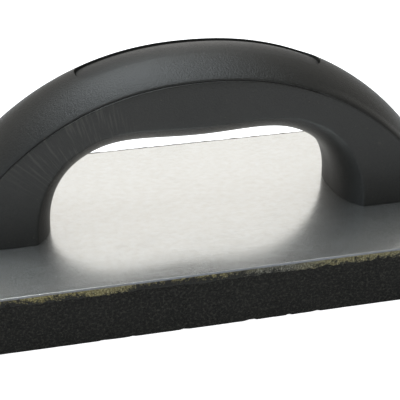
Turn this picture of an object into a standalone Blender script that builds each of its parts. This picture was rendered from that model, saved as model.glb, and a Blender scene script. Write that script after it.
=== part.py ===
"""Rubber-faced finishing float: a thick cellular rubber pad bonded under a
thin steel back plate, with a hollow moulded D-handle screwed on from below.

Metres, +Z up.  The origin is the centre of the pad's working face, +X runs
along the plate and +Y across it.
"""

import math

import bmesh
import bpy
from mathutils import Vector

MM = 0.001

# ---------------------------------------------------------------- clearances
FACE_GAP = 0.3 * MM          # between two faces that rest on each other
HOLE_GAP = 0.3 * MM          # radial, shank to hole
PANEL_GAP = 0.5 * MM         # around the grip panel in its recess
LIP_GAP = 0.3 * MM           # between the hood's lip and the channel wall

# ------------------------------------------------------- pad, film and plate
BASE_LENGTH = 280.0 * MM
BASE_WIDTH = 115.0 * MM
PAD_THICKNESS = 20.8 * MM
FILM_THICKNESS = 0.6 * MM
PLATE_THICKNESS = 1.0 * MM
PLATE_CORNER = 2.0 * MM
PLATE_BURR = 0.15 * MM       # broken edge all round the sheet
FILM_INSET = 0.4 * MM        # the film stops this far inside the plate

# ------------------------------------------------------------ handle outline
ARCH_HALF_LENGTH = 96.0 * MM     # centre to the outer foot crease
ARCH_HEIGHT = 57.0 * MM          # plate to the crease at mid grip
ARCH_SIDE_POWER = 2.2
ARCH_TOP_POWER = 1.3
FOOT_LENGTH = 31.5 * MM          # outer foot crease to the leg's inner flat edge
GRIP_DEPTH = 14.5 * MM           # crease to the grip's lower flat edge
GRIP_SWELL = 2.5 * MM            # how much deeper the grip is at its middle
GRIP_SWELL_REACH = 40.0 * MM     # the swell runs out this far from the middle
HAND_SIDE_POWER = 3.3
HAND_TOP_POWER = 2.3
HALF_WIDTH_FOOT = 21.8 * MM
HALF_WIDTH_TOP = 19.0 * MM
SECTION_LEAN = 1.3               # how fast the sections fan out to the legs
CROWN_RISE_TOP = 9.2 * MM        # hood's crown over its edges at mid grip
CROWN_RISE_FOOT = 5.0 * MM       # the same at the feet
CROWN_POWER = 2.0
BELLY_RISE_TOP = 8.6 * MM        # how far the inner face swells to the hand
BELLY_RISE_FOOT = 7.0 * MM       # the same at the feet
BELLY_POWER = 2.8

# --------------------------------------------------------------- handle walls
CHANNEL_WALL = 2.4 * MM
HOOD_WALL = 3.0 * MM
LIP_DEPTH = 2.2 * MM
LIP_THICKNESS = 1.5 * MM
FLOOR_THICKNESS = 3.0 * MM
FLOOR_LIP_GAP = 0.8 * MM         # floor slab to the hood's lip

# ----------------------------------------------------------------- grip panel
PANEL_HALF_ARC = 46.5 * MM       # half the recess, along the crown
PANEL_SHIFT = 3.0 * MM           # recess centre past mid grip
PANEL_HALF_WIDTH = 7.6 * MM      # half the recess, across the crown
PANEL_THICKNESS = 0.8 * MM
PANEL_CORNER = 6.5 * MM
RECESS_DEPTH = 2.2 * MM

# --------------------------------------------------------------------- screws
SCREW_END_INSET = 17.0 * MM      # outer foot crease to the screw
SCREW_SIDE_INSET = 10.3 * MM     # foot's flat side to the screw
SHANK_RADIUS = 1.9 * MM
SHANK_LENGTH = 19.0 * MM
SHANK_POINT = 2.5 * MM
HEAD_RADIUS = 4.2 * MM
HEAD_THICKNESS = 1.8 * MM
HEAD_CROWN = 1.1 * MM            # domed part of the head
CROSS_WIDTH = 0.9 * MM
CROSS_SPAN = 4.4 * MM
CROSS_DEPTH = 1.0 * MM
POCKET_GAP = 0.6 * MM
BOSS_RADIUS = 4.2 * MM
BOSS_HEIGHT = 40.0 * MM          # trimmed to the hood's outer skin
BOSS_SKIN = 0.9 * MM             # hood left outside the trimmed boss
BORE_CLEAR = 0.8 * MM            # bore past the screw's point

# ------------------------------------------------------------------ fineness
ARCH_STATIONS = 40
CROWN_STEPS = 12
BELLY_STEPS = 12
PANEL_STATIONS = 26
PANEL_STEPS = 6
ROUND_STEPS = 20
STEP_SHARE = 0.004               # short step along the arch, for its slope

# ------------------------------------------------- derived places and levels
HAND_HALF_LENGTH = ARCH_HALF_LENGTH - FOOT_LENGTH
HAND_HEIGHT = ARCH_HEIGHT - GRIP_DEPTH
SCREW_X = ARCH_HALF_LENGTH - SCREW_END_INSET
SCREW_Y = HALF_WIDTH_FOOT - SCREW_SIDE_INSET
FILM_BOTTOM = PAD_THICKNESS + FACE_GAP
FILM_TOP = FILM_BOTTOM + FILM_THICKNESS
PLATE_BOTTOM = FILM_TOP + FACE_GAP
PLATE_TOP = PLATE_BOTTOM + PLATE_THICKNESS
ARCH_BASE = PLATE_TOP + FACE_GAP
HEAD_TOP = PLATE_BOTTOM - FACE_GAP
HOLE_RADIUS = SHANK_RADIUS + HOLE_GAP
POCKET_RADIUS = HEAD_RADIUS + POCKET_GAP
FLOOR_TOP = ARCH_BASE + FLOOR_THICKNESS
BOSS_BOTTOM = FLOOR_TOP + FACE_GAP
BORE_TOP = HEAD_TOP + SHANK_LENGTH + BORE_CLEAR


# ------------------------------------------------------------------ the scene
for old in list(bpy.data.objects):
    bpy.data.objects.remove(old, do_unlink=True)

parts = bpy.data.collections.new("rubber_finishing_float")
bpy.context.scene.collection.children.link(parts)
cutters = bpy.data.collections.new("cutters")
bpy.context.scene.collection.children.link(cutters)


def material(name, colour, roughness, metallic):
    """A Principled material with a plain colour."""
    mat = bpy.data.materials.new(name)
    mat.use_nodes = True
    shader = mat.node_tree.nodes["Principled BSDF"]
    shader.inputs["Base Color"].default_value = (*colour, 1.0)
    shader.inputs["Roughness"].default_value = roughness
    shader.inputs["Metallic"].default_value = metallic
    return mat


def add_part(name, mesh, mat, location=(0.0, 0.0, 0.0)):
    """Put a mesh in the parts collection as a named node."""
    obj = bpy.data.objects.new(name, mesh)
    obj.location = location
    parts.objects.link(obj)
    if mat.name not in [slot.name for slot in mesh.materials if slot]:
        mesh.materials.append(mat)
    return obj


def add_cutter(name, mesh, location=(0.0, 0.0, 0.0)):
    """Put a mesh in the cutters collection, out of the build."""
    obj = bpy.data.objects.new(name, mesh)
    obj.location = location
    cutters.objects.link(obj)
    obj.hide_render = True
    obj.display_type = 'WIRE'
    return obj


def boolean(obj, operation, tool):
    """Cut, join or trim obj with tool."""
    mod = obj.modifiers.new(operation.lower() + "_" + tool.name, 'BOOLEAN')
    mod.operation = operation
    mod.solver = 'EXACT'
    mod.object = tool
    return mod


def smooth(mesh, angle):
    """Round faces shade smooth, and edges over the angle stay sharp."""
    mesh.shade_smooth()
    mesh.set_sharp_from_angle(angle=math.radians(angle))


def cylinder_mesh(name, radius, bottom, top):
    """A closed upright cylinder between two heights."""
    bm = bmesh.new()
    bmesh.ops.create_cone(
        bm,
        cap_ends=True,
        segments=ROUND_STEPS,
        radius1=radius,
        radius2=radius,
        depth=top - bottom,
    )
    bmesh.ops.translate(bm, vec=(0.0, 0.0, (top + bottom) / 2), verts=bm.verts)
    mesh = bpy.data.meshes.new(name)
    bm.to_mesh(mesh)
    bm.free()
    return mesh


def slab_mesh(name, size, bottom):
    """A closed box of a given size standing on a height."""
    bm = bmesh.new()
    bmesh.ops.create_cube(bm, size=1.0)
    bmesh.ops.scale(bm, vec=size, verts=bm.verts)
    lift = bottom + size[2] / 2
    bmesh.ops.translate(bm, vec=(0.0, 0.0, lift), verts=bm.verts)
    mesh = bpy.data.meshes.new(name)
    bm.to_mesh(mesh)
    bm.free()
    return mesh


SCREW_SPOTS = [
    (-SCREW_X, -SCREW_Y),
    (-SCREW_X, SCREW_Y),
    (SCREW_X, -SCREW_Y),
    (SCREW_X, SCREW_Y),
]


def round_corners(mesh, radius, height):
    """Round the upright corners of a slab with a bevel on its edges."""
    bm = bmesh.new()
    bm.from_mesh(mesh)
    upright = []
    for edge in bm.edges:
        run = edge.verts[0].co - edge.verts[1].co
        if abs(abs(run.z) - height) < FACE_GAP / 10:
            upright.append(edge)
    bmesh.ops.bevel(
        bm,
        geom=upright,
        offset=radius,
        segments=5,
        affect='EDGES',
        profile=0.5,
    )
    bm.to_mesh(mesh)
    bm.free()


# ------------------------------------------------------------------ materials
RUBBER = material("sponge_rubber", (0.022, 0.021, 0.018), 0.85, 0.0)
ADHESIVE = material("contact_adhesive", (0.30, 0.26, 0.12), 0.45, 0.0)
STEEL = material("bright_steel", (0.76, 0.76, 0.75), 0.22, 1.0)
MOULDED = material("moulded_black", (0.052, 0.050, 0.045), 0.42, 0.0)
PANEL = material("grip_panel_black", (0.085, 0.083, 0.078), 0.40, 0.0)
ZINC = material("zinc_screw", (0.62, 0.62, 0.60), 0.35, 1.0)

# ------------------------------------------------- screw positions' cutters
# One cutter runs through the plate, the film and each foot floor; a wider
# one makes the pockets that keep the pad and film clear of the heads.
hole_mesh = cylinder_mesh("shank_hole", HOLE_RADIUS, FILM_BOTTOM - FACE_GAP, FLOOR_TOP + FACE_GAP)
pocket_mesh = cylinder_mesh(
    "head_pocket",
    POCKET_RADIUS,
    HEAD_TOP - HEAD_THICKNESS - FACE_GAP,
    FILM_TOP + FACE_GAP / 2,
)
hole_cutters = []
pocket_cutters = []
for index, (x, y) in enumerate(SCREW_SPOTS, start=1):
    hole_cutters.append(add_cutter("hole_cutter_%d" % index, hole_mesh, (x, y, 0.0)))
    pocket_cutters.append(add_cutter("pocket_cutter_%d" % index, pocket_mesh, (x, y, 0.0)))

# ------------------------------------------------------------------ sponge pad
pad_mesh = slab_mesh("sponge_pad", (BASE_LENGTH, BASE_WIDTH, PAD_THICKNESS), 0.0)
sponge_pad = add_part("sponge_pad", pad_mesh, RUBBER)
for cutter in pocket_cutters:
    boolean(sponge_pad, 'DIFFERENCE', cutter)

# --------------------------------------------------------------- adhesive film
film_size = (BASE_LENGTH - 2 * FILM_INSET, BASE_WIDTH - 2 * FILM_INSET, FILM_THICKNESS)
film_mesh = slab_mesh("adhesive_film", film_size, FILM_BOTTOM)
adhesive_film = add_part("adhesive_film", film_mesh, ADHESIVE)
for cutter in pocket_cutters:
    boolean(adhesive_film, 'DIFFERENCE', cutter)

# ------------------------------------------------------------------ back plate
plate_mesh = slab_mesh("back_plate", (BASE_LENGTH, BASE_WIDTH, PLATE_THICKNESS), PLATE_BOTTOM)
round_corners(plate_mesh, PLATE_CORNER, PLATE_THICKNESS)
back_plate = add_part("back_plate", plate_mesh, STEEL)
burr = back_plate.modifiers.new("broken_edge", 'BEVEL')
burr.width = PLATE_BURR
burr.segments = 1
burr.limit_method = 'ANGLE'
burr.angle_limit = math.radians(60.0)
for cutter in hole_cutters:
    boolean(back_plate, 'DIFFERENCE', cutter)


# ---------------------------------------------------------- the handle's arch
def oval_point(turn, half_length, height, side_power, top_power):
    """Point of a superellipse arch, from the left foot (0) over to the right (pi)."""
    across = math.cos(turn)
    up = max(math.sin(turn), 0.0)
    x = -half_length * math.copysign(abs(across) ** (2 / side_power), across)
    z = height * up ** (2 / top_power)
    return Vector((x, 0.0, z))


def swell(x):
    """How far the grip's lower edge dips at a place along the hand opening."""
    near = max(1 - (x / GRIP_SWELL_REACH) ** 2, 0.0)
    return GRIP_SWELL * near * near


def arch_curve(half_length, height, side_power, top_power, dip=None, steps=1200):
    """Points along an arch with the distance run to each."""
    points = []
    runs = []
    run = 0.0
    for step in range(steps + 1):
        turn = math.pi * step / steps
        point = oval_point(turn, half_length, height, side_power, top_power)
        if dip:
            point.z -= dip(point.x)
        if points:
            run += (point - points[-1]).length
        points.append(point)
        runs.append(run)
    return points, runs


def at_share(curve, share):
    """Point a given share of the way along a measured curve."""
    points, runs = curve
    target = share * runs[-1]
    low = 0
    high = len(runs) - 1
    while high - low > 1:
        middle = (low + high) // 2
        if runs[middle] <= target:
            low = middle
        else:
            high = middle
    span = runs[high] - runs[low]
    part = (target - runs[low]) / span if span > 0 else 0.0
    return points[low].lerp(points[high], part)


OUTER = arch_curve(ARCH_HALF_LENGTH, ARCH_HEIGHT, ARCH_SIDE_POWER, ARCH_TOP_POWER)
INNER = arch_curve(HAND_HALF_LENGTH, HAND_HEIGHT, HAND_SIDE_POWER, HAND_TOP_POWER, dip=swell)


class Station:
    """One cross-section of the arch: depth 0 is the crease, out is positive."""

    def __init__(self, share):
        side = 2 * share - 1
        lean = (1 - abs(side)) ** SECTION_LEAN
        inner_share = lean / 2 if side < 0 else 1 - lean / 2
        self.crease = at_share(OUTER, share)
        self.edge = at_share(INNER, inner_share)
        self.out = (self.crease - self.edge).normalized()
        self.depth = (self.crease - self.edge).length
        along = at_share(OUTER, min(share + STEP_SHARE, 1.0))
        along = along - at_share(OUTER, max(share - STEP_SHARE, 0.0))
        square = Vector((-along.z, 0.0, along.x)).normalized()
        height = self.crease.z / ARCH_HEIGHT
        rise = CROWN_RISE_FOOT + (CROWN_RISE_TOP - CROWN_RISE_FOOT) * height
        self.rise = rise / self.out.dot(square)
        height = self.edge.z / HAND_HEIGHT
        self.belly_rise = BELLY_RISE_FOOT + (BELLY_RISE_TOP - BELLY_RISE_FOOT) * height

    def half_width(self, out):
        """Half width of the drafted sides at a depth in this section."""
        height = self.crease.z + out * self.out.z
        part = min(max(height / ARCH_HEIGHT, 0.0), 1.0)
        return HALF_WIDTH_FOOT + (HALF_WIDTH_TOP - HALF_WIDTH_FOOT) * part

    def crown(self, y):
        """Height of the hood's skin over the crease line at a width."""
        share = min(abs(y) / self.half_width(0.0), 1.0)
        return self.rise * (1 - share ** CROWN_POWER)

    def place(self, y, out):
        """Section coordinates to a point of the model."""
        point = self.crease + self.out * out
        return Vector((point.x, y, point.z + ARCH_BASE))


def spread(count, low, high):
    """Evenly spaced values from low to high."""
    return [low + (high - low) * step / (count - 1) for step in range(count)]


def belly(half, base, rise, steps):
    """Rounded face that swells towards the hand, from +half to -half."""
    points = []
    for step in range(steps + 1):
        share = math.cos(math.pi * step / steps)
        out = base - rise * (1 - abs(share) ** BELLY_POWER)
        points.append((half * share, out))
    return points


def loft(name, rings):
    """Bridge matching rings of points into one closed tube with flat ends."""
    bm = bmesh.new()
    loops = []
    for ring in rings:
        verts = [bm.verts.new(point) for point in ring]
        edges = []
        for index, vert in enumerate(verts):
            edges.append(bm.edges.new((vert, verts[(index + 1) % len(verts)])))
        loops.append(edges)
    for first, second in zip(loops, loops[1:]):
        bmesh.ops.bridge_loops(bm, edges=first + second)
    for ends in (loops[0], loops[-1]):
        bmesh.ops.contextual_create(bm, geom=ends)
    bmesh.ops.recalc_face_normals(bm, faces=bm.faces)
    if bm.calc_volume(signed=True) < 0:
        bmesh.ops.reverse_faces(bm, faces=bm.faces)
    mesh = bpy.data.meshes.new(name)
    bm.to_mesh(mesh)
    bm.free()
    return mesh


def hood_ring(station):
    """Crowned shell with a lip that drops inside the channel."""
    skin = FACE_GAP / 2
    half = station.half_width(skin)
    lip_out = station.half_width(-LIP_DEPTH) - CHANNEL_WALL - LIP_GAP
    lip_in = lip_out - LIP_THICKNESS
    ring = []
    for y in spread(CROWN_STEPS + 1, half, -half):
        ring.append(station.place(y, skin + station.crown(y)))
    ring.append(station.place(-lip_out, skin))
    ring.append(station.place(-lip_out, -LIP_DEPTH))
    ring.append(station.place(-lip_in, -LIP_DEPTH))
    for y in spread(CROWN_STEPS - 1, -lip_in, lip_in):
        ring.append(station.place(y, skin + station.crown(y) - HOOD_WALL))
    ring.append(station.place(lip_in, -LIP_DEPTH))
    ring.append(station.place(lip_out, -LIP_DEPTH))
    ring.append(station.place(lip_out, skin))
    return ring


def channel_ring(station):
    """Flat drafted sides joined by the rounded face under the fingers."""
    rim = -FACE_GAP / 2
    base = -station.depth
    ring = [station.place(station.half_width(rim), rim)]
    for y, out in belly(station.half_width(base), base, station.belly_rise, BELLY_STEPS):
        ring.append(station.place(y, out))
    ring.append(station.place(-station.half_width(rim), rim))
    ring.append(station.place(CHANNEL_WALL - station.half_width(rim), rim))
    inner_half = station.half_width(base) - CHANNEL_WALL
    inner_rise = station.belly_rise - CHANNEL_WALL
    for y, out in reversed(belly(inner_half, base, inner_rise, BELLY_STEPS)):
        ring.append(station.place(y, out))
    ring.append(station.place(station.half_width(rim) - CHANNEL_WALL, rim))
    return ring


def floor_ring(station, level):
    """Outline of a foot's floor, clear of the lip where the arch leans in."""
    sunk = CHANNEL_WALL / 2
    raised = (FLOOR_THICKNESS / ARCH_HEIGHT) ** ARCH_TOP_POWER
    lean = ARCH_HALF_LENGTH * (1 - (1 - raised) ** (1 / ARCH_SIDE_POWER))
    top = -LIP_DEPTH - FLOOR_LIP_GAP - lean
    base = -station.depth
    half = station.half_width(base) - sunk
    outline = [(half, top)]
    outline += belly(half, base, station.belly_rise - sunk, BELLY_STEPS)
    outline.append((-half, top))
    return [Vector((station.place(y, out).x, y, level)) for y, out in outline]


def skin_ring(station):
    """Solid section that ends just inside the hood's outer skin."""
    ring = []
    half = station.half_width(0.0) - BOSS_SKIN
    for y in spread(CROWN_STEPS + 1, half, -half):
        ring.append(station.place(y, station.crown(y) - BOSS_SKIN))
    ring.append(station.place(-half, -station.depth))
    ring.append(station.place(half, -station.depth))
    return ring


shares = spread(ARCH_STATIONS + 1, 0.0, 1.0)
stations = [Station(share) for share in shares]

# -------------------------------------------------------------- handle channel
channel_mesh = loft("handle_channel", [channel_ring(station) for station in stations])
handle_channel = add_part("handle_channel", channel_mesh, MOULDED)
for side, station in (("left", stations[0]), ("right", stations[-1])):
    levels = (ARCH_BASE, FLOOR_TOP)
    floor_mesh = loft("floor_" + side, [floor_ring(station, level) for level in levels])
    boolean(handle_channel, 'UNION', add_cutter("floor_" + side, floor_mesh))
for cutter in hole_cutters:
    boolean(handle_channel, 'DIFFERENCE', cutter)

# ----------------------------------------------------------------- handle hood
# The bosses are plain cylinders trimmed to the inside of the hood's skin.
hood_mesh = loft("handle_hood", [hood_ring(station) for station in stations])
handle_hood = add_part("handle_hood", hood_mesh, MOULDED)
skin_solid = add_cutter("hood_skin_solid", loft("hood_skin_solid", [skin_ring(s) for s in stations]))
boss_mesh = cylinder_mesh("screw_boss", BOSS_RADIUS, BOSS_BOTTOM, BOSS_BOTTOM + BOSS_HEIGHT)
bore_mesh = cylinder_mesh("screw_bore", HOLE_RADIUS, BOSS_BOTTOM - FACE_GAP, BORE_TOP)
for index, (x, y) in enumerate(SCREW_SPOTS, start=1):
    boss = add_cutter("boss_%d" % index, boss_mesh, (x, y, 0.0))
    boolean(boss, 'INTERSECT', skin_solid)
    boolean(handle_hood, 'UNION', boss)
for index, (x, y) in enumerate(SCREW_SPOTS, start=1):
    bore = add_cutter("bore_%d" % index, bore_mesh, (x, y, 0.0))
    boolean(handle_hood, 'DIFFERENCE', bore)


# ------------------------------------------------------------------ grip panel
def panel_rings(half_arc, half_width, corner, bottom, top):
    """Sections of the rounded panel, or of its recess, along the crown."""
    total = OUTER[1][-1]
    rings = []
    for step in range(PANEL_STATIONS + 1):
        run = -half_arc * math.cos(math.pi * step / PANEL_STATIONS)
        station = Station(0.5 + (PANEL_SHIFT + run) / total)
        half = half_width
        to_end = half_arc - abs(run)
        if to_end < corner:
            reach = corner - to_end
            half -= corner - math.sqrt(corner * corner - reach * reach)
        ring = []
        for y in spread(PANEL_STEPS + 1, half, -half):
            ring.append(station.place(y, FACE_GAP / 2 + station.crown(y) + top))
        for y in spread(PANEL_STEPS + 1, -half, half):
            ring.append(station.place(y, FACE_GAP / 2 + station.crown(y) + bottom))
        rings.append(ring)
    return rings


recess_mesh = loft(
    "panel_recess",
    panel_rings(PANEL_HALF_ARC, PANEL_HALF_WIDTH, PANEL_CORNER, -RECESS_DEPTH, RECESS_DEPTH),
)
boolean(handle_hood, 'DIFFERENCE', add_cutter("panel_recess", recess_mesh))
panel_bottom = FACE_GAP - RECESS_DEPTH
panel_mesh = loft(
    "grip_panel",
    panel_rings(
        PANEL_HALF_ARC - PANEL_GAP,
        PANEL_HALF_WIDTH - PANEL_GAP,
        PANEL_CORNER - PANEL_GAP,
        panel_bottom,
        panel_bottom + PANEL_THICKNESS,
    ),
)
grip_panel = add_part("grip_panel", panel_mesh, PANEL)

# ----------------------------------------------------------------- foot screws
# A turned self-tapping screw, head down in the pad and point up in the boss.
head_bottom = HEAD_TOP - HEAD_THICKNESS
profile = bpy.data.meshes.new("screw_profile")
rim_bottom = head_bottom + HEAD_CROWN
shank_top = HEAD_TOP + SHANK_LENGTH
turned = bmesh.new()
outline = [
    (0.0, shank_top),
    (SHANK_RADIUS / 4, shank_top),
    (SHANK_RADIUS, shank_top - SHANK_POINT),
    (SHANK_RADIUS, HEAD_TOP),
    (HEAD_RADIUS, HEAD_TOP),
    (HEAD_RADIUS, rim_bottom),
    (HEAD_RADIUS * 0.85, head_bottom + HEAD_CROWN * 0.4),
    (HEAD_RADIUS * 0.5, head_bottom),
    (0.0, head_bottom),
]
spun = [turned.verts.new((radius, 0.0, height)) for radius, height in outline]
for first, second in zip(spun, spun[1:]):
    turned.edges.new((first, second))
turned.to_mesh(profile)
turned.free()
screw_blank = add_cutter("screw_blank", profile)
turning = screw_blank.modifiers.new("turn", 'SCREW')
turning.axis = 'Z'
turning.angle = math.tau
turning.steps = ROUND_STEPS
turning.render_steps = ROUND_STEPS
turning.use_merge_vertices = True
turning.merge_threshold = 0.00001
turning.use_normal_calculate = True
cross_size = (CROSS_SPAN, CROSS_WIDTH, CROSS_DEPTH + FACE_GAP)
cross_mesh = slab_mesh("cross_slot", cross_size, head_bottom - FACE_GAP)
for quarter in range(2):
    slot = add_cutter("cross_slot_%d" % quarter, cross_mesh)
    slot.rotation_euler = (0.0, 0.0, quarter * math.pi / 2)
    boolean(screw_blank, 'DIFFERENCE', slot)
bpy.context.view_layer.update()
graph = bpy.context.evaluated_depsgraph_get()
screw_mesh = bpy.data.meshes.new_from_object(screw_blank.evaluated_get(graph))
screw_mesh.name = "foot_screw"
smooth(screw_mesh, 40.0)
for index, (x, y) in enumerate(SCREW_SPOTS, start=1):
    add_part("foot_screw_%d" % index, screw_mesh, ZINC, (x, y, 0.0))

for mesh in (channel_mesh, hood_mesh, panel_mesh):
    smooth(mesh, 35.0)
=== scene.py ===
import math

import bpy
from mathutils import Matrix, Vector, noise


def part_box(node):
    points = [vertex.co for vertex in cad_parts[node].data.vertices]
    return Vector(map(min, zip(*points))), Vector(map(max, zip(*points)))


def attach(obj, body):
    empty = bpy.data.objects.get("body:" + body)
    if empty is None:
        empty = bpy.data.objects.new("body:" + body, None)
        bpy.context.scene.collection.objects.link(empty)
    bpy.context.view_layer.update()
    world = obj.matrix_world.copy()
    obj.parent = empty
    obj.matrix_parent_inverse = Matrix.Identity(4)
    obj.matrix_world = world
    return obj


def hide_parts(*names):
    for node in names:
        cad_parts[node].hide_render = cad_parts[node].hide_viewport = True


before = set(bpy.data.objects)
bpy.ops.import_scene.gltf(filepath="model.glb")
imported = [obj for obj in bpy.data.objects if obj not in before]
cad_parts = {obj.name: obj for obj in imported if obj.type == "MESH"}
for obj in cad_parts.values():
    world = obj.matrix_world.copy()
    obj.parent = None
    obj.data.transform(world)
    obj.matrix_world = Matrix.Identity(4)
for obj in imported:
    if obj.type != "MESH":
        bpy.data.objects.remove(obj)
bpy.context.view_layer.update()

# ---------------------------------------------------------------------------
# SPONGE PAD
# A slab of black cellular rubber, knife-cut from a thick sheet.  The cut
# leaves slightly wavy walls, open cells all over and small nicks along the
# edges.  It is bonded to the plate and never moves on it.
# ---------------------------------------------------------------------------
MM = 0.001
pad_low, pad_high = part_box("sponge_pad")
film_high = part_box("adhesive_film")[1]
pad_inset = 0.45 * MM
pad_columns = 222
pad_ranks = 92
pad_layers = 16
pad_crease = math.radians(40)
pad_length = pad_high.x - pad_low.x - 2 * pad_inset
pad_width = pad_high.y - pad_low.y - 2 * pad_inset
pad_height = film_high.z - pad_low.z


def clear_selection():
    """Nothing stays selected from the step before."""
    bpy.ops.object.select_all(action='DESELECT')


def select_only(obj):
    """One object is selected and active for the next step."""
    clear_selection()
    obj.select_set(True)
    bpy.context.view_layer.objects.active = obj


def finished(obj, name):
    """Name a modelled piece and put its place and size into its mesh."""
    obj.name = name
    obj.data.name = name
    select_only(obj)
    bpy.ops.object.transform_apply(location=True, rotation=True, scale=True)
    return obj


def rough(point, size, seed):
    """Smooth random value from -1 to 1 with bumps of a given size."""
    spot = Vector(point) / size
    return noise.noise(spot + Vector((seed * 7.3, seed * 3.1, seed * 5.7)))


clear_selection()
bpy.ops.mesh.primitive_grid_add(x_subdivisions=pad_columns, y_subdivisions=pad_ranks, size=1.0)
sponge_pad = bpy.context.object
sponge_pad.scale = (pad_length, pad_width, 1.0)
sponge_pad.location = (0.0, 0.0, pad_low.z)
finished(sponge_pad, "sponge_pad_cut")
bpy.ops.object.mode_set(mode='EDIT')
bpy.ops.mesh.select_all(action='SELECT')
layer_step = (0.0, 0.0, pad_height / pad_layers)
for layer in range(pad_layers):
    bpy.ops.mesh.extrude_region_move(TRANSFORM_OT_translate={"value": layer_step})
bpy.ops.mesh.select_all(action='SELECT')
bpy.ops.mesh.normals_make_consistent(inside=False)
bpy.ops.object.mode_set(mode='OBJECT')

edge_round = 0.5 * MM
edge_cut = 0.45 * edge_round
wall_wave = 0.22 * MM
wave_size = 24.0 * MM
nick_size = 5.0 * MM
nick_depth = 1.1 * MM
nick_start = 0.28
nick_span = 0.5
nick_rise = 0.7
cell_size = 3.4 * MM
cell_depth = 0.2 * MM
near_edge = MM / 5
half_x = pad_length / 2
half_y = pad_width / 2
for vertex in sponge_pad.data.vertices:
    spot = vertex.co.copy()
    at_x = half_x - abs(spot.x)
    at_y = half_y - abs(spot.y)
    on_wall = min(at_x, at_y) < near_edge
    on_floor = spot.z - pad_low.z < near_edge
    out = Vector((
        math.copysign(1.0, spot.x) if at_x < near_edge else 0.0,
        math.copysign(1.0, spot.y) if at_y < near_edge else 0.0,
        0.0,
    ))
    if on_wall:
        wave = 0.5 * rough(spot, wave_size, 1) - 0.5
        cells = min(rough(spot, cell_size, 2), 0.0)
        vertex.co += out * (wall_wave * wave + cell_depth * cells)
    if on_wall and on_floor:
        nick = max(rough(spot, nick_size, 3) - nick_start, 0.0) / nick_span
        vertex.co -= out * (edge_cut + nick_depth * nick)
        vertex.co.z += edge_cut + nick_depth * nick * nick_rise
    elif on_floor:
        vertex.co.z += cell_depth * max(rough(spot, cell_size, 4), 0.0)
select_only(sponge_pad)
bpy.ops.object.shade_smooth_by_angle(angle=pad_crease)


def new_material(name):
    """An empty node material with one Principled shader, ready to wire."""
    material = bpy.data.materials.new(name)
    material.use_nodes = True
    tree = material.node_tree
    return material, tree, tree.nodes["Principled BSDF"]


def fill(tree, node, inputs):
    """Join each named input of a node to another node's output, or set it."""
    for socket, value in inputs.items():
        if isinstance(value, bpy.types.NodeSocket):
            tree.links.new(value, node.inputs[socket])
        else:
            node.inputs[socket].default_value = value


def wire(tree, kind, inputs=None, **settings):
    """Add a node, set its settings and fill its inputs."""
    node = tree.nodes.new(kind)
    for key, value in settings.items():
        setattr(node, key, value)
    fill(tree, node, inputs or {})
    return node


def object_place(tree):
    """The place in the object, in metres, that patterns are laid on."""
    return wire(tree, "ShaderNodeTexCoord").outputs["Object"]


def ramp(tree, factor, stops):
    """A colour ramp from (place, colour) stops."""
    node = wire(tree, "ShaderNodeValToRGB", {"Fac": factor})
    elements = node.color_ramp.elements
    for place, colour in stops[2:]:
        elements.new(place)
    for element, (place, colour) in zip(elements, stops):
        element.position = place
        element.color = (*colour, 1.0)
    return node.outputs["Color"]


def grain(tree, place, scale, detail=3.0, roughness=0.5, distortion=0.0):
    """Value of a noise pattern on a place in the object, in metres."""
    inputs = {
        "Vector": place,
        "Scale": scale,
        "Detail": detail,
        "Roughness": roughness,
        "Distortion": distortion,
    }
    return wire(tree, "ShaderNodeTexNoise", inputs).outputs["Fac"]


def spread(tree, value, low, high, to_low=0.0, to_high=1.0):
    """Stretch a value's range and hold it there."""
    node = wire(
        tree,
        "ShaderNodeMapRange",
        {"Value": value, "From Min": low, "From Max": high, "To Min": to_low, "To Max": to_high},
    )
    return node.outputs["Result"]


def combine(tree, operation, first, second):
    """One arithmetic step between two values."""
    node = wire(tree, "ShaderNodeMath", {0: first, 1: second}, operation=operation)
    return node.outputs["Value"]


def blend(tree, factor, first, second, blend_type='MIX'):
    """Mix two colours."""
    node = wire(
        tree,
        "ShaderNodeMix",
        {"Factor": factor, 6: first, 7: second},
        data_type='RGBA',
        blend_type=blend_type,
    )
    return node.outputs[2]


def bumps(tree, height, distance, strength, under=None):
    """Turn a height into a bent normal, on top of an earlier one."""
    inputs = {"Height": height, "Distance": distance, "Strength": strength}
    if under is not None:
        inputs["Normal"] = under
    return wire(tree, "ShaderNodeBump", inputs).outputs["Normal"]


rubber, tree, shader = new_material("cellular_rubber")
place = object_place(tree)
cells = wire(
    tree,
    "ShaderNodeTexVoronoi",
    {"Vector": place, "Scale": 1050.0, "Randomness": 1.0},
).outputs["Distance"]
open_cells = spread(tree, cells, 0.12, 0.55)
fine_cells = grain(tree, place, 950.0, 4.0, 0.75)
patches = grain(tree, place, 70.0, 4.0)
soot = ramp(tree, patches, [(0.3, (0.0085, 0.0080, 0.0068)), (0.7, (0.0150, 0.0142, 0.0122))])
chalk = spread(tree, fine_cells, 0.48, 0.66)
chalk_grey = (0.052, 0.049, 0.041, 1.0)
pits = bumps(tree, open_cells, 0.0007, 0.6)
fill(tree, shader, {
    "Base Color": blend(tree, chalk, soot, chalk_grey),
    "Roughness": spread(tree, fine_cells, 0.3, 0.7, 0.75, 0.95),
    "Specular IOR Level": 0.25,
    "Normal": bumps(tree, fine_cells, 0.0006, 0.6, pits),
})
sponge_pad.data.materials.append(rubber)
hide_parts("sponge_pad")
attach(sponge_pad, "root")

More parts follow.
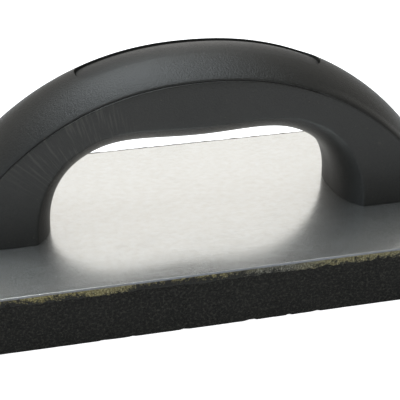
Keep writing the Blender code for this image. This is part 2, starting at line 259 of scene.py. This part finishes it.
# ---------------------------------------------------------------------------
# ADHESIVE FILM
# Contact adhesive, brushed on pad and plate.  Pressed together, they squeeze a
# ragged band out round the edge, grey in the middle and more ochre beyond.  It
# dries in lumps a few millimetres down the rubber, and behind climbs the plate.
# ---------------------------------------------------------------------------
film_room = 0.1 * MM
film_inset = 0.32 * MM
film_edge_x = pad_high.x - film_inset
film_edge_y = pad_high.y - film_inset
film_corner = 2.2 * MM
film_points = 1500
film_crease = math.radians(50)
film_tuck = 0.8 * MM
film_roof_drop = 0.45 * MM
smear_rows = 11
smear_reach = 4.6 * MM
smear_thick = 0.34 * MM
smear_limit = 0.3 * MM
lump_size = 2.4 * MM
crumb_size = 1.1 * MM
bead_size = 14.0 * MM
bead_swell = 0.45
bead_share = 0.28
sink_start = 0.55
sink_span = 0.45
sink_depth = 1.9
climb_size = 3.0 * MM
climb_level = 0.92
climb_wander = 0.35
climb_inset = 0.30 * MM


def rounded_outline(half_length, half_width, corner, count):
    """Evenly spaced points round a rectangle with rounded corners."""
    straight_x = 2 * (half_length - corner)
    straight_y = 2 * (half_width - corner)
    quarter = math.pi * corner / 2
    total = 2 * (straight_x + straight_y) + 4 * quarter
    sides = (straight_y, straight_x, straight_y, straight_x)
    corners = [(1, 1), (-1, 1), (-1, -1), (1, -1)]
    points = []
    for index in range(count):
        left = total * index / count
        for turn, run in enumerate(sides):
            angle = turn * math.pi / 2
            facing = Vector((math.cos(angle), math.sin(angle)))
            along = Vector((-facing.y, facing.x))
            if left <= run:
                reach = half_length if turn % 2 == 0 else half_width
                points.append((facing * reach + along * (left - run / 2), facing))
                break
            left -= run
            if left <= quarter:
                sign_x, sign_y = corners[turn]
                centre = Vector((sign_x * (half_length - corner), sign_y * (half_width - corner)))
                turned = angle + left / corner
                facing = Vector((math.cos(turned), math.sin(turned)))
                points.append((centre + facing * corner, facing))
                break
            left -= quarter
    return points


outline = rounded_outline(film_edge_x, film_edge_y, film_corner, film_points)
film_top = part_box("back_plate")[0].z - film_room / 2
rows = []
for row in range(smear_rows):
    level = row / (smear_rows - 1)
    ring = []
    for spot, facing in outline:
        height = film_top - smear_reach * level
        here = Vector((spot.x, spot.y, height))
        lump = 0.6 * rough(here, lump_size, 12) + 0.5 * rough(here, crumb_size, 13)
        bead = bead_swell * max(1.0 - level / bead_share, 0.0) * (1.0 + rough(here, bead_size, 11))
        sink = sink_depth * max(level - sink_start, 0.0) / sink_span
        out = smear_thick * (0.55 * lump + bead - 0.5 - sink)
        ring.append(here + facing.to_3d() * min(out, smear_limit))
    rows.append(ring)
climb_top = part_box("back_plate")[1].z
climb = []
for spot, facing in outline:
    here = Vector((spot.x, spot.y, film_top))
    behind = max(facing.y, 0.0)
    level = min(climb_level + climb_wander * rough(here, climb_size, 15), 1.0)
    point = here - facing.to_3d() * climb_inset
    point.z += (climb_top - film_top) * level * behind
    climb.append(point)
rows.insert(0, climb)
under = []
inner_top = []
for (spot, facing), low in zip(outline, rows[-1]):
    inside = low - facing.to_3d() * film_tuck
    under.append(inside)
    inner_top.append(Vector((inside.x, inside.y, film_top - film_roof_drop)))
rows.append(under)
rows.append(inner_top)


def sweep(name, rings):
    """Extrude a filled outline once for each further ring, then set every ring."""
    count = len(rings[0])
    clear_selection()
    bpy.ops.mesh.primitive_circle_add(vertices=count, radius=1.0, fill_type='NGON')
    obj = bpy.context.object
    mark = obj.data.attributes.new("around", 'INT', 'POINT')
    mark.data.foreach_set("value", list(range(count)))
    bpy.ops.object.mode_set(mode='EDIT')
    bpy.ops.mesh.select_all(action='SELECT')
    for ring in rings[1:]:
        bpy.ops.mesh.extrude_region_move(TRANSFORM_OT_translate={"value": (0.0, 0.0, 0.01)})
    bpy.ops.object.mode_set(mode='OBJECT')
    mesh = obj.data
    around = [item.value for item in mesh.attributes["around"].data]
    for vertex in mesh.vertices:
        vertex.co = rings[vertex.index // count][around[vertex.index]]
    mesh.attributes.remove(mesh.attributes["around"])
    bpy.ops.object.mode_set(mode='EDIT')
    bpy.ops.mesh.select_all(action='SELECT')
    bpy.ops.mesh.normals_make_consistent(inside=False)
    bpy.ops.object.mode_set(mode='OBJECT')
    return finished(obj, name)


def magnitude(tree, value):
    """A value without its sign."""
    return wire(tree, "ShaderNodeMath", {0: value}, operation='ABSOLUTE').outputs["Value"]


adhesive_film = sweep("adhesive_squeeze_out", rows)
bpy.ops.object.shade_smooth_by_angle(angle=film_crease)

ochre_shift = 5.0 * MM
ochre_begin = 26.0 * MM
ochre_full = 42.0 * MM
proud_reach = 0.3 * MM
glue, tree, shader = new_material("dried_contact_adhesive")
place = object_place(tree)
split_place = wire(tree, "ShaderNodeSeparateXYZ", {"Vector": place})
height = split_place.outputs["Z"]
sunk = spread(tree, height, film_top, film_top - smear_reach)
proud = spread(tree, height, film_top, film_top + proud_reach)
from_middle = magnitude(tree, combine(tree, 'ADD', split_place.outputs["X"], ochre_shift))
ends = spread(tree, from_middle, ochre_begin, ochre_full)
crumbs = grain(tree, place, 620.0, 6.0, 0.85, 0.5)
specks = grain(tree, place, 1700.0, 3.0, 0.65)
runs = grain(tree, place, 34.0, 3.0, 0.6)
tints = grain(tree, place, 15.0, 2.0)
tints = combine(tree, 'SUBTRACT', tints, combine(tree, 'MULTIPLY', ends, 0.10))
runs = combine(tree, 'MULTIPLY', combine(tree, 'SUBTRACT', runs, 0.5), 0.8)
cover = combine(tree, 'ADD', crumbs, runs)
for operation, pattern, share in (
    ('SUBTRACT', sunk, 0.28),
    ('ADD', ends, 0.05),
    ('SUBTRACT', proud, 0.6),
):
    cover = combine(tree, operation, cover, combine(tree, 'MULTIPLY', pattern, share))
mask = spread(tree, cover, 0.40, 0.47)
ochre = ramp(
    tree,
    specks,
    [(0.34, (0.070, 0.056, 0.020)), (0.50, (0.270, 0.225, 0.080)), (0.66, (0.560, 0.500, 0.270))],
)
grey = ramp(
    tree,
    specks,
    [(0.36, (0.032, 0.030, 0.024)), (0.52, (0.140, 0.132, 0.098)), (0.68, (0.420, 0.415, 0.350))],
)
crust_colour = blend(tree, spread(tree, tints, 0.44, 0.60), ochre, grey)
bare = ramp(tree, specks, [(0.4, (0.0095, 0.0090, 0.0075)), (0.75, (0.040, 0.037, 0.029))])
crust = bumps(tree, crumbs, 0.0009, 0.7)
fill(tree, shader, {
    "Base Color": blend(tree, mask, bare, crust_colour),
    "Roughness": spread(tree, specks, 0.3, 0.7, 0.45, 0.8),
    "Specular IOR Level": 0.35,
    "Normal": bumps(tree, specks, 0.0004, 0.6, crust),
})
adhesive_film.data.materials.append(glue)
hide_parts("adhesive_film")
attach(adhesive_film, "root")

# ---------------------------------------------------------------------------
# BACK PLATE
# One millimetre of bright sheet steel, guillotined to size, pierced for the
# four handle screws and laid a touch towards the front of the pad.  The face
# is rolled bright and mirrors the handle softly; the cut edge is dull.
# ---------------------------------------------------------------------------
plate_low, plate_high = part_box("back_plate")
plate_short = 0.8 * MM
plate_corner = 2.0 * MM
plate_round = 0.16 * MM
plate_end_room = 0.05 * MM
plate_points = 700
plate_crease = math.radians(8)
cut_wander = 0.12 * MM
cut_wander_size = 60.0 * MM
hole_radius = 2.2 * MM
punch_depth = 6.0 * MM
screw_numbers = range(1, 5)


def carve(obj, cutter, name):
    """Cut one solid out of another and remove the cutter."""
    cut = obj.modifiers.new(name, 'BOOLEAN')
    cut.operation = 'DIFFERENCE'
    cut.solver = 'EXACT'
    cut.object = cutter
    select_only(obj)
    bpy.ops.object.modifier_apply(modifier=cut.name)
    bpy.data.objects.remove(cutter, do_unlink=True)


half_length = plate_high.x - plate_end_room
half_width = plate_high.y - plate_short / 2
outline = rounded_outline(half_length, half_width, plate_corner, plate_points)
plate_rings = []
for inset, height in (
    (plate_round, plate_low.z + film_room / 2),
    (0.0, plate_low.z + plate_round),
    (0.0, plate_high.z - plate_round),
    (plate_round * 0.12, plate_high.z - plate_round * 0.5),
    (plate_round * 0.5, plate_high.z - plate_round * 0.12),
    (plate_round, plate_high.z),
):
    ring = []
    for spot, facing in outline:
        wander = cut_wander * (rough(spot.to_3d(), cut_wander_size, 21) - 0.6)
        edge = spot - facing * (inset - min(wander, 0.0))
        ring.append(Vector((edge.x, edge.y - plate_short / 2, height)))
    plate_rings.append(ring)
back_plate = sweep("back_plate_sheet", plate_rings)
for number in screw_numbers:
    screw_low, screw_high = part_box("foot_screw_%d" % number)
    middle = (screw_low + screw_high) / 2
    clear_selection()
    bpy.ops.mesh.primitive_cylinder_add(
        vertices=48,
        radius=hole_radius,
        depth=punch_depth,
        location=(middle.x, middle.y, plate_high.z),
    )
    carve(back_plate, bpy.context.object, "screw_hole")
bpy.ops.object.shade_smooth_by_angle(angle=plate_crease)


def stretched(tree, place, scale, turn=0.0):
    """A place scaled in each direction, then turned about the vertical."""
    inputs = {"Vector": place, "Rotation": (0.0, 0.0, turn), "Scale": scale}
    return wire(tree, "ShaderNodeMapping", inputs).outputs["Vector"]


grime_begin = 1.1 * MM
grime_full = 0.7 * MM
steel, tree, shader = new_material("bright_rolled_steel")
place = object_place(tree)
rolled = grain(tree, stretched(tree, place, (30.0, 900.0, 400.0)), 1.0, 4.0, 0.65)
scratch = grain(tree, stretched(tree, place, (1300.0, 22.0, 400.0), 0.35), 1.0, 2.0)
streaks = grain(tree, stretched(tree, place, (7000.0, 24000.0, 400.0)), 1.0, 2.0)
clouds = grain(tree, place, 22.0, 4.0, 0.55)
mottle = grain(tree, place, 420.0, 3.0, 0.6)
smudges = grain(tree, place, 60.0, 5.0, 0.6, 0.8)
bright = ramp(tree, mottle, [(0.3, (0.745, 0.740, 0.715)), (0.7, (0.795, 0.800, 0.790))])
smudge_grey = (0.62, 0.61, 0.58, 1.0)
grime_brown = (0.060, 0.045, 0.030, 1.0)
dulled = blend(tree, spread(tree, smudges, 0.60, 0.78, 0.0, 0.22), bright, smudge_grey)
depth = wire(tree, "ShaderNodeSeparateXYZ", {"Vector": place}).outputs["Y"]
far_edge = plate_high.y - plate_short
grime = spread(tree, depth, far_edge - grime_begin, far_edge - grime_full)
grime_patches = spread(tree, grain(tree, place, 380.0), 0.36, 0.46, 0.35, 1.0)
grime = combine(tree, 'MULTIPLY', grime, grime_patches)
matte = spread(tree, streaks, 0.53, 0.59)
polish = spread(tree, rolled, 0.3, 0.7, 0.14, 0.20)
polish = combine(tree, 'ADD', polish, combine(tree, 'MULTIPLY', matte, 0.40))
polish = combine(tree, 'ADD', polish, spread(tree, smudges, 0.5, 0.8, 0.0, 0.05))
lines = bumps(tree, rolled, 0.00002, 0.10)
lines = bumps(tree, spread(tree, scratch, 0.62, 0.70), 0.00003, 0.10, lines)
fill(tree, shader, {
    "Base Color": blend(tree, grime, dulled, grime_brown),
    "Metallic": 1.0,
    "Roughness": polish,
    "Normal": bumps(tree, clouds, 0.0008, 0.02, lines),
})
back_plate.data.materials.append(steel)

sheared, tree, shader = new_material("sheared_steel_edge")
place = object_place(tree)
tears = grain(tree, place, 800.0, 4.0, 0.7)
rust = grain(tree, place, 55.0, 3.0, 0.6)
cut_face = ramp(tree, tears, [(0.3, (0.17, 0.175, 0.19)), (0.7, (0.34, 0.35, 0.37))])
rust_brown = (0.17, 0.145, 0.095, 1.0)
rusted = spread(tree, rust, 0.50, 0.70, 0.0, 0.55)
fill(tree, shader, {
    "Base Color": blend(tree, rusted, cut_face, rust_brown),
    "Metallic": 1.0,
    "Roughness": spread(tree, tears, 0.3, 0.7, 0.45, 0.65),
    "Normal": bumps(tree, tears, 0.0003, 0.5),
})
back_plate.data.materials.append(sheared)
for polygon in back_plate.data.polygons:
    polygon.material_index = 0 if polygon.normal.z > 0.5 else 1
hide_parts("back_plate")
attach(back_plate, "root")

# ---------------------------------------------------------------------------
# HANDLE CHANNEL
# The lower half of the handle, injection moulded in black plastic: two flat
# drafted sides joined by the rounded face that the fingers close round, with
# a floor in each foot that the screws pass through.
# ---------------------------------------------------------------------------
arch_half_length = 96.0 * MM
arch_height = 57.0 * MM
arch_side_power = 2.2
arch_top_power = 1.3
hand_half_length = 64.5 * MM
hand_height = 42.5 * MM
hand_side_power = 3.3
hand_top_power = 2.3
half_width_foot = 21.8 * MM
half_width_top = 19.0 * MM
section_lean = 1.3
crown_rise_top = 9.17 * MM
crown_rise_foot = 5.0 * MM
grip_swell = 2.5 * MM
grip_swell_reach = 40.0 * MM
belly_rise_top = 8.6 * MM
belly_rise_foot = 7.0 * MM
belly_power = 2.8
channel_wall = 2.4 * MM
hood_wall = 3.0 * MM
lip_depth = 2.2 * MM
lip_thickness = 1.5 * MM
joint_gap = 0.3 * MM
joint_look = 0.06 * MM
foot_drop = 0.22 * MM
foot_reach = 4.0 * MM
arch_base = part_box("handle_channel")[0].z
arch_stations = 190
handle_crease = math.radians(38)
slope_share = 0.004
seam_middle = 0.42
seam_half = 0.22
seam_fade = 0.10
seam_closing = 0.95
channel_break = 0.40 * MM
channel_soft = 1.1 * MM
corner_steps = 4
side_points = 6
belly_steps = 32
inner_belly_steps = 14


def arch_curve(half_length, height, side_power, top_power, dip=0.0, steps=2400):
    """Points of a superellipse arch, each with the distance run to it."""
    points = []
    run = 0.0
    for step in range(steps + 1):
        turn = math.pi * step / steps
        across = math.cos(turn)
        up = max(math.sin(turn), 0.0)
        x = -half_length * math.copysign(abs(across) ** (2 / side_power), across)
        near = max(1 - (x / grip_swell_reach) ** 2, 0.0)
        point = Vector((x, 0.0, height * up ** (2 / top_power) - dip * near * near))
        if points:
            run += (point - points[-1][0]).length
        points.append((point, run))
    return points


def at_share(curve, share):
    """Point a given share of the way along a measured curve."""
    target = min(max(share, 0.0), 1.0) * curve[-1][1]
    low = 0
    high = len(curve) - 1
    while high - low > 1:
        middle = (low + high) // 2
        if curve[middle][1] <= target:
            low = middle
        else:
            high = middle
    run = curve[high][1] - curve[low][1]
    part = (target - curve[low][1]) / run if run > 0 else 0.0
    return curve[low][0].lerp(curve[high][0], part)


outer_curve = arch_curve(arch_half_length, arch_height, arch_side_power, arch_top_power)
inner_curve = arch_curve(hand_half_length, hand_height, hand_side_power, hand_top_power, grip_swell)


class Section:
    """A cross-section of the handle: out is 0 at the joint between the halves."""

    def __init__(self, share):
        side = 2 * share - 1
        lean = max(1 - abs(side), 0.0) ** section_lean
        inner_share = lean / 2 if side < 0 else 1 - lean / 2
        self.share = share
        self.crease = at_share(outer_curve, share)
        edge = at_share(inner_curve, inner_share)
        self.depth = (self.crease - edge).length
        self.out = (self.crease - edge).normalized()
        ahead = at_share(outer_curve, share + slope_share)
        along = ahead - at_share(outer_curve, share - slope_share)
        square = Vector((-along.z, 0.0, along.x)).normalized()
        height = self.crease.z / arch_height
        rise = crown_rise_foot + (crown_rise_top - crown_rise_foot) * height
        self.rise = rise / self.out.dot(square)
        belly_gain = belly_rise_top - belly_rise_foot
        self.belly_rise = belly_rise_foot + belly_gain * edge.z / hand_height

    def half(self, out):
        """Half width of the drafted sides at a depth."""
        part = min(max((self.crease.z + out * self.out.z) / arch_height, 0.0), 1.0)
        return half_width_foot + (half_width_top - half_width_foot) * part

    def crown(self, y):
        """Height of the hood's skin over the joint at a width."""
        return self.rise * (1 - min(abs(y) / self.half(0.0), 1.0) ** 2)

    def at(self, y, out):
        """Section place to a point of the object."""
        point = self.crease + self.out * out
        seated = foot_drop * max(1 - point.z / foot_reach, 0.0)
        return Vector((point.x, y, point.z + arch_base - seated))

    def seam(self):
        """How open the joint looks here: 1 over the grip, nearly 0 at the feet."""
        away = abs(self.share - seam_middle)
        return 1.0 - seam_closing * min(max((away - seam_half) / seam_fade, 0.0), 1.0)


def even(count, low, high):
    """Evenly spaced values from low to high, both included."""
    return [low + (high - low) * step / (count - 1) for step in range(count)]


def belly(half, base, rise, steps):
    """The rounded face under the fingers, from +half to -half."""
    points = []
    for step in range(steps + 1):
        share = math.cos(math.pi * step / steps)
        points.append((half * share, base - rise * (1 - abs(share) ** belly_power)))
    return points


def soft_corner(first, corner, last, steps):
    """Points of a curve that rounds one corner of a section."""
    points = []
    for step in range(steps + 1):
        part = step / steps
        point = Vector(first).lerp(Vector(corner), part)
        point = point.lerp(Vector(corner).lerp(Vector(last), part), part)
        points.append((point.x, point.y))
    return points


def channel_ring(section):
    """Rounded rims, flat sides and belly outside; one plain wall thick inside."""
    rim = -joint_look / 2
    base = -section.depth
    break_at = channel_break * section.seam()
    half = section.half(base)
    round_face = belly(half, base, section.belly_rise, belly_steps)
    begin = round_face[2]
    near = soft_corner(
        (section.half(rim) - break_at, rim),
        (section.half(rim), rim),
        (section.half(rim - break_at), rim - break_at),
        corner_steps,
    )
    above = (section.half(base + channel_soft), base + channel_soft)
    low = soft_corner(above, (half, base), begin, corner_steps)
    outs = even(side_points, rim - break_at, base + channel_soft)[1:-1]
    left = near + [(section.half(out), out) for out in outs] + low
    outside = left + round_face[3:-3] + [(-y, out) for y, out in reversed(left)]
    ring = [section.at(y, out) for y, out in outside]
    ring.append(section.at(channel_wall - section.half(rim), rim))
    inner_rise = section.belly_rise - channel_wall
    inner_face = belly(half - channel_wall, base, inner_rise, inner_belly_steps)
    ring += [section.at(y, out) for y, out in reversed(inner_face)]
    ring.append(section.at(section.half(rim) - channel_wall, rim))
    return ring


def lay_map(obj, rings, start=0.0):
    """A map that runs along the arch and round the section, in metres."""
    mesh = obj.data
    count = len(rings[0])
    layer = mesh.uv_layers.new(name="along_and_round")
    layer.active = True
    layer.active_render = True
    middle = len(rings) // 2
    round_runs = [0.0]
    for first, second in zip(rings[middle], rings[middle][1:]):
        round_runs.append(round_runs[-1] + (second - first).length)
    whole = round_runs[-1] + (rings[middle][0] - rings[middle][-1]).length
    along_whole = outer_curve[-1][1]
    for polygon in mesh.polygons:
        slots = [mesh.loops[index].vertex_index % count for index in polygon.loop_indices]
        wraps = max(slots) - min(slots) > count // 2 and len(slots) == 4
        for index in polygon.loop_indices:
            vertex = mesh.loops[index].vertex_index
            run = round_runs[vertex % count]
            if wraps and vertex % count == 0:
                run = whole
            along = start + along_whole * (vertex // count) / (len(rings) - 1)
            layer.data[index].uv = (along, run)


sections = [Section(share) for share in even(arch_stations + 1, 0.0, 1.0)]
rings = [channel_ring(section) for section in sections]
handle_channel = sweep("handle_channel_moulded", rings)
lay_map(handle_channel, rings)
bpy.ops.object.shade_smooth_by_angle(angle=handle_crease)

plastic, tree, shader = new_material("moulded_black_plastic")
coordinates = wire(tree, "ShaderNodeTexCoord")
place = coordinates.outputs["Object"]
run = coordinates.outputs["UV"]
fine = grain(tree, place, 1300.0, 4.0, 0.7)
peel = grain(tree, place, 240.0, 2.0)
haze = grain(tree, place, 38.0, 4.0, 0.6)
dust = grain(tree, place, 900.0, 2.0, 0.4)
hatch = grain(tree, stretched(tree, run, (1000.0, 45.0, 1.0)), 1.0, 2.0, 0.6)
along = wire(tree, "ShaderNodeSeparateXYZ", {"Vector": run}).outputs["X"]
worn_to = spread(tree, along, 0.096, 0.080)
worn_from = spread(tree, along, 0.030, 0.045)
worn = combine(tree, 'MULTIPLY', worn_to, worn_from)
scuff = combine(tree, 'MULTIPLY', spread(tree, hatch, 0.52, 0.62), worn)
black = ramp(tree, haze, [(0.3, (0.0150, 0.0142, 0.0125)), (0.72, (0.0225, 0.0215, 0.0190))])
for share, tint in (
    (spread(tree, fine, 0.35, 0.70, 0.0, 0.5), (0.038, 0.036, 0.031, 1.0)),
    (combine(tree, 'MULTIPLY', scuff, 0.7), (0.062, 0.058, 0.050, 1.0)),
    (spread(tree, dust, 0.735, 0.765, 0.0, 0.5), (0.10, 0.085, 0.065, 1.0)),
):
    black = blend(tree, share, black, tint)
skin = bumps(tree, fine, 0.0003, 0.6)
skin = bumps(tree, peel, 0.0002, 0.12, skin)
fill(tree, shader, {
    "Base Color": black,
    "Roughness": spread(tree, fine, 0.3, 0.7, 0.30, 0.42),
    "IOR": 1.5,
    "Normal": bumps(tree, scuff, 0.0001, 0.4, skin),
})
handle_channel.data.materials.append(plastic)
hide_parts("handle_channel")
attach(handle_channel, "root")

# ---------------------------------------------------------------------------
# HANDLE HOOD
# The upper half, moulded in the same black plastic: one crowned shell from
# foot to foot.  Its lip drops inside the channel, so the joint is a dark line
# that fades towards the feet, and its top has a recess for the grip panel.
# ---------------------------------------------------------------------------
recess_depth = 2.2 * MM
panel_half_arc = 46.5 * MM
panel_shift = 3.0 * MM
panel_half_width = 7.6 * MM
panel_corner = 6.5 * MM
panel_gap = 0.42 * MM
panel_thickness = 0.8 * MM
panel_stations = 110
panel_across = 19
recess_draft = 0.18
hood_break = 0.95 * MM
hood_roll = 3.6 * MM
shoulder_steps = 6
crown_points = 45
roof_points = 15


def hood_ring(section):
    """Crowned skin with softly broken edges outside, lips and a plain wall inside."""
    skin = joint_gap / 2
    foot = joint_look / 2
    open_by = section.seam()
    break_at = hood_break * open_by
    roll = hood_roll * (1 - open_by)
    half = section.half(foot)
    lip_out = section.half(-lip_depth) - channel_wall - joint_gap
    lip_in = lip_out - lip_thickness
    shoulder = half - break_at - roll
    turn = foot + 0.5 * section.crown(shoulder) * (1 - open_by)
    near = soft_corner(
        (half - break_at, foot),
        (half, turn),
        (shoulder, skin + section.crown(shoulder)),
        shoulder_steps,
    )
    ring = [section.at(y, out) for y, out in near]
    for y in even(crown_points, shoulder, -shoulder)[1:-1]:
        ring.append(section.at(y, skin + section.crown(y)))
    ring += [section.at(-y, out) for y, out in reversed(near)]
    ring.append(section.at(-lip_out, foot))
    ring.append(section.at(-lip_out, -lip_depth))
    ring.append(section.at(-lip_in, -lip_depth))
    for y in even(roof_points, -lip_in, lip_in):
        ring.append(section.at(y, skin + section.crown(y) - hood_wall))
    ring.append(section.at(lip_in, -lip_depth))
    ring.append(section.at(lip_out, -lip_depth))
    ring.append(section.at(lip_out, foot))
    return ring


def panel_rings(half_arc, half_width, corner, bottom, top, draft=0.0):
    """Sections of the rounded panel, or of its wider-topped recess, along the crown."""
    total = outer_curve[-1][1]
    skin = joint_gap / 2
    rings = []
    for step in range(panel_stations + 1):
        run = -half_arc * math.cos(math.pi * step / panel_stations)
        section = Section(0.5 + (panel_shift + run) / total)
        half = half_width
        reach = corner - (half_arc - abs(run))
        if reach > 0:
            half -= corner - math.sqrt(max(corner * corner - reach * reach, 0.0))
        wide = half + draft * (top - bottom)
        ring = []
        for level, side in ((top, wide), (bottom, -half)):
            for y in even(panel_across, side, -side):
                ring.append(section.at(y, skin + section.crown(y) + level))
        rings.append(ring)
    return rings


rings = [hood_ring(section) for section in sections]
handle_hood = sweep("handle_hood_moulded", rings)
lay_map(handle_hood, rings, start=1.0)
recess = sweep(
    "recess_cutter",
    panel_rings(
        panel_half_arc,
        panel_half_width,
        panel_corner,
        -recess_depth,
        recess_depth,
        recess_draft,
    ),
)
carve(handle_hood, recess, "recess")
bpy.ops.object.shade_smooth_by_angle(angle=handle_crease)
handle_hood.data.materials.clear()
handle_hood.data.materials.append(plastic)
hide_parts("handle_hood")
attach(handle_hood, "root")

# ---------------------------------------------------------------------------
# GRIP PANEL
# A thin strip moulded to the curve of the hood and pressed into its recess.
# It sits a touch low, so the recess wall shows as a dark outline round it.
# ---------------------------------------------------------------------------
panel_bottom = joint_gap - recess_depth
panel_edge = 0.22 * MM
panel_edge_angle = math.radians(50)
grip_panel = sweep(
    "grip_panel_strip",
    panel_rings(
        panel_half_arc - panel_gap,
        panel_half_width - panel_gap,
        panel_corner - panel_gap,
        panel_bottom,
        panel_bottom + panel_thickness,
    ),
)
soften = grip_panel.modifiers.new("soft_edges", 'BEVEL')
soften.width = panel_edge
soften.segments = 3
soften.limit_method = 'ANGLE'
soften.angle_limit = panel_edge_angle
bpy.ops.object.modifier_apply(modifier=soften.name)
bpy.ops.object.shade_smooth_by_angle(angle=handle_crease)

satin, tree, shader = new_material("grip_panel_plastic")
place = object_place(tree)
fine = grain(tree, place, 1200.0, 4.0, 0.7)
haze = grain(tree, place, 45.0, 4.0, 0.6)
grey = ramp(tree, haze, [(0.3, (0.017, 0.0165, 0.0150)), (0.72, (0.025, 0.0245, 0.0225))])
fill(tree, shader, {
    "Base Color": grey,
    "Roughness": spread(tree, fine, 0.3, 0.7, 0.36, 0.48),
    "Normal": bumps(tree, fine, 0.0003, 0.6),
})
grip_panel.data.materials.append(satin)
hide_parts("grip_panel")
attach(grip_panel, "root")

# ---------------------------------------------------------------------------
# FOOT SCREWS
# Four zinc plated self-tapping screws, driven up from below before the pad
# was glued on.  Their heads lie in pockets of the pad.
# ---------------------------------------------------------------------------
zinc, tree, shader = new_material("zinc_plate")
place = object_place(tree)
bloom = grain(tree, place, 700.0, 4.0, 0.6)
fill(tree, shader, {
    "Base Color": ramp(tree, bloom, [(0.3, (0.50, 0.51, 0.52)), (0.7, (0.70, 0.70, 0.68))]),
    "Metallic": 1.0,
    "Roughness": spread(tree, bloom, 0.3, 0.7, 0.22, 0.42),
    "Normal": bumps(tree, bloom, 0.0001, 0.2),
})
for number in screw_numbers:
    screw = bpy.data.objects["foot_screw_%d" % number]
    screw.data.materials.clear()
    screw.data.materials.append(zinc)

# ---------------------------------------------------------------------------
# STUDIO
# A white table in a light tent: a wide softbox overhead, a white card behind
# the object, a pale window to its left and a dim front.  The camera sees table
# and tent as plain white.
# ---------------------------------------------------------------------------
table_size = 6.0
table_drop = 0.02 * MM
card_lean = 0.216
window_aim = Vector((-0.80, -0.50, 0.33)).normalized()
front_grey = (0.066, 0.064, 0.060, 1.0)
card_white = (1.14, 1.12, 1.08, 1.0)
window_blue = (0.38, 0.45, 0.52, 1.0)
plain_white = (1.0, 1.0, 1.0, 1.0)
softbox_place = (-0.10, -0.04, 1.02)
softbox_target = Vector((0.0, 0.0, 0.05))
camera_place = (-0.10924, -0.43311, 0.24372)
camera_aim = Vector((0.2256, 0.8682, -0.4422))
clear_selection()
bpy.ops.mesh.primitive_plane_add(size=table_size, location=(0.0, 0.0, pad_low.z - table_drop))
table = bpy.context.object
table.name = "studio_table"
white, tree, shader = new_material("white_table")
seen = wire(tree, "ShaderNodeLightPath").outputs["Is Camera Ray"]
fill(tree, shader, {
    "Base Color": (0.9, 0.9, 0.9, 1.0),
    "Roughness": 0.8,
    "Specular IOR Level": 0.0,
    "Emission Color": plain_white,
    "Emission Strength": spread(tree, seen, 0.0, 1.0, 0.25, 0.95),
})
table.data.materials.append(white)

world = bpy.data.worlds.new("light_tent")
bpy.context.scene.world = world
world.use_nodes = True
tree = world.node_tree
tree.nodes.clear()
direction = wire(tree, "ShaderNodeTexCoord").outputs["Generated"]
split = wire(tree, "ShaderNodeSeparateXYZ", {"Vector": direction})
beside = magnitude(tree, combine(tree, 'SUBTRACT', split.outputs["X"], card_lean))
card = spread(tree, beside, 0.13, 0.19, 1.0, 0.35)
behind = combine(tree, 'MULTIPLY', spread(tree, split.outputs["Y"], -0.25, 0.40), card)
aimed = wire(tree, "ShaderNodeVectorMath", {0: direction, 1: window_aim}, operation='DOT_PRODUCT')
window = spread(tree, aimed.outputs["Value"], 0.70, 0.92)
wall_colour = blend(tree, behind, front_grey, card_white)
wall_colour = blend(tree, window, wall_colour, window_blue)
seen = wire(tree, "ShaderNodeLightPath").outputs["Is Camera Ray"]
wall_colour = blend(tree, seen, wall_colour, plain_white)
background = wire(tree, "ShaderNodeBackground", {"Color": wall_colour, "Strength": 1.0})
wire(tree, "ShaderNodeOutputWorld", {"Surface": background.outputs["Background"]})

softbox = bpy.data.lights.new("overhead_softbox", 'AREA')
softbox.shape = 'RECTANGLE'
softbox.size = 1.10
softbox.size_y = 0.45
softbox.energy = 8.5
softbox.color = (0.87, 0.95, 1.0)
softbox_object = bpy.data.objects.new("overhead_softbox", softbox)
bpy.context.scene.collection.objects.link(softbox_object)
softbox_object.location = softbox_place
down = softbox_target - softbox_object.location
softbox_object.rotation_euler = down.to_track_quat('-Z', 'Y').to_euler()

lens = bpy.data.cameras.new("studio_camera")
lens.lens = 112.5
lens.sensor_width = 36.0
lens.clip_start = 0.01
lens.clip_end = 20.0
camera = bpy.data.objects.new("studio_camera", lens)
bpy.context.scene.collection.objects.link(camera)
camera.location = camera_place
camera.rotation_euler = camera_aim.to_track_quat('-Z', 'Y').to_euler()
bpy.context.scene.camera = camera
bpy.context.scene.view_settings.view_transform = 'Standard'
